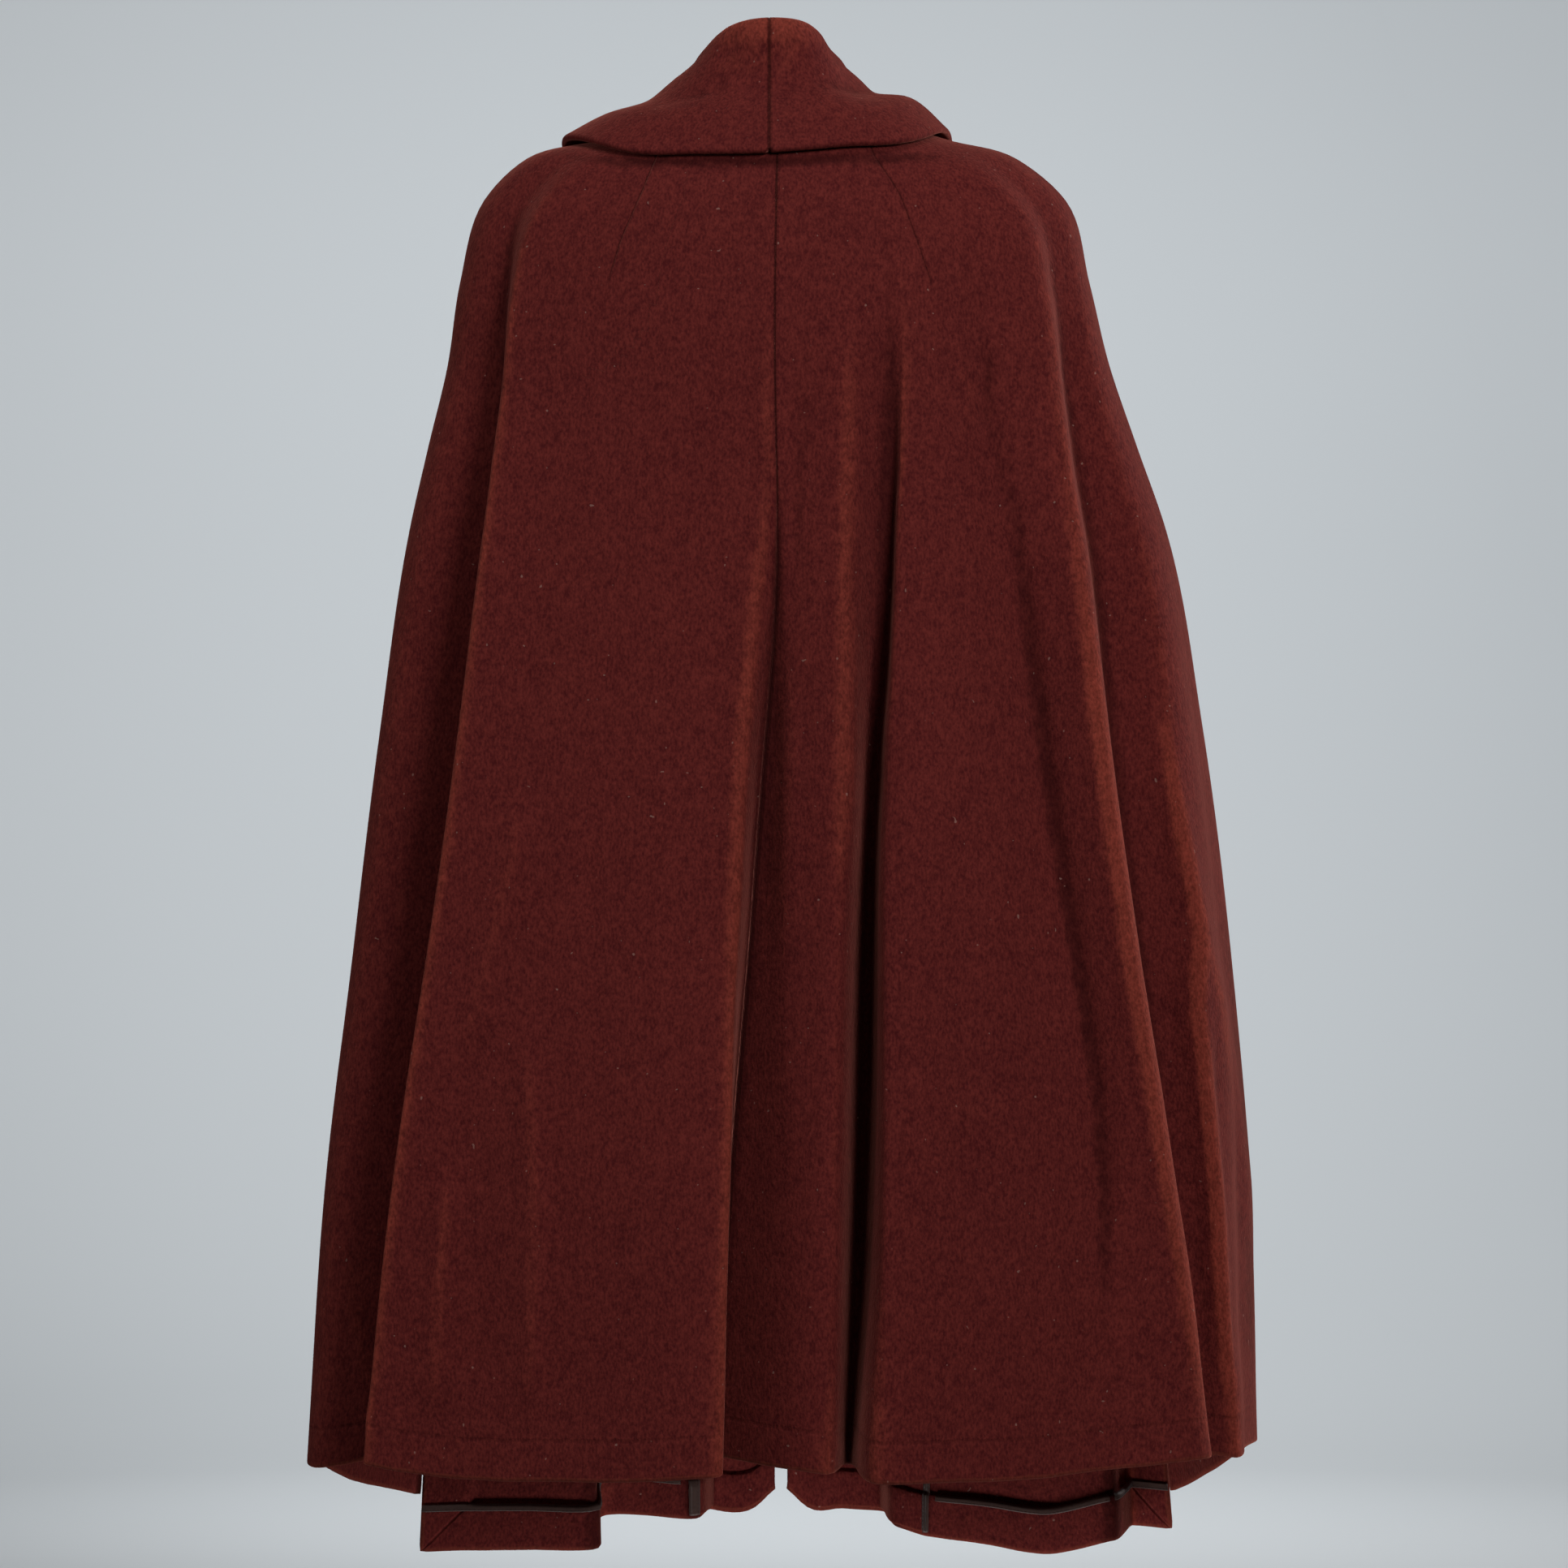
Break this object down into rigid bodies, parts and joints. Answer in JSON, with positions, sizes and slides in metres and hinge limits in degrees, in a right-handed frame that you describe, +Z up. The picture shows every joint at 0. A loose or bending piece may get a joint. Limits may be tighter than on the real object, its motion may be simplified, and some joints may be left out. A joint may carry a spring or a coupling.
{
  "type": "cape",
  "caption": "Long dark red wool cape with a large collar, arm slits, longer fronts and satin-bound inner edges.",
  "frame": {"origin": "middle of the neck, level with the neck seam at the sides, where the wearer holds the cape", "axes": "+Z up, -Y the wearer's front, +X the wearer's left"},
  "size_m": [0.6779, 0.4727, 1.1125],
  "materials": {
    "wool": "dark wine red melton wool with a short raised nap",
    "satin": "dark brown satin binding"
  },
  "bodies": {
    "root": {"back_left": "wool", "back_right": "wool", "front_left": "wool", "front_right": "wool", "collar_left": "wool", "collar_right": "wool", "facing_left": "wool", "facing_right": "wool", "facing_binding_left": "satin", "facing_binding_right": "satin", "hem_binding_left": "satin", "hem_binding_right": "satin"}
  },
  "joints": []
}
